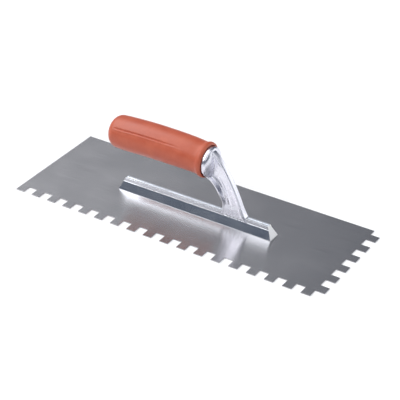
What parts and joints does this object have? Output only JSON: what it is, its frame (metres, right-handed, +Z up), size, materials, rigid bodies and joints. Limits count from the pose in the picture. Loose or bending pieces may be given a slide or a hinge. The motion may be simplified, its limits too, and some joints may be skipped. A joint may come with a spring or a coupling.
{
  "type": "notched trowel",
  "caption": "Flat steel blade notched along one long and one short edge, with a top-mounted curved bracket and a round soft grip, for spreading tile adhesive.",
  "frame": {"origin": "centre of the blade's flat underside", "axes": "+X along the blade towards the notched short edge, -Y towards the notched long edge, +Z up through the handle"},
  "size_m": [0.36, 0.128, 0.0852],
  "materials": {
    "blade_steel": "ground spring steel, brushed along its length",
    "bar_aluminium": "extruded mill-finish aluminium",
    "rivet_steel": "ground flush with the blade",
    "cast_aluminium": "die-cast aluminium, tumbled bright",
    "core_plastic": "moulded hard plastic",
    "grip_rubber": "moulded terracotta soft grip, satin",
    "screw_steel": "zinc-plated steel",
    "plug_plastic": "moulded terracotta plastic"
  },
  "bodies": {
    "root": {"blade": "blade_steel", "mounting_bar": "bar_aluminium", "blade_rivets": "rivet_steel", "bracket": "cast_aluminium", "handle_core": "core_plastic", "grip": "grip_rubber", "tang_screw": "screw_steel", "screw_washer": "screw_steel", "end_plug": "plug_plastic"}
  },
  "joints": []
}
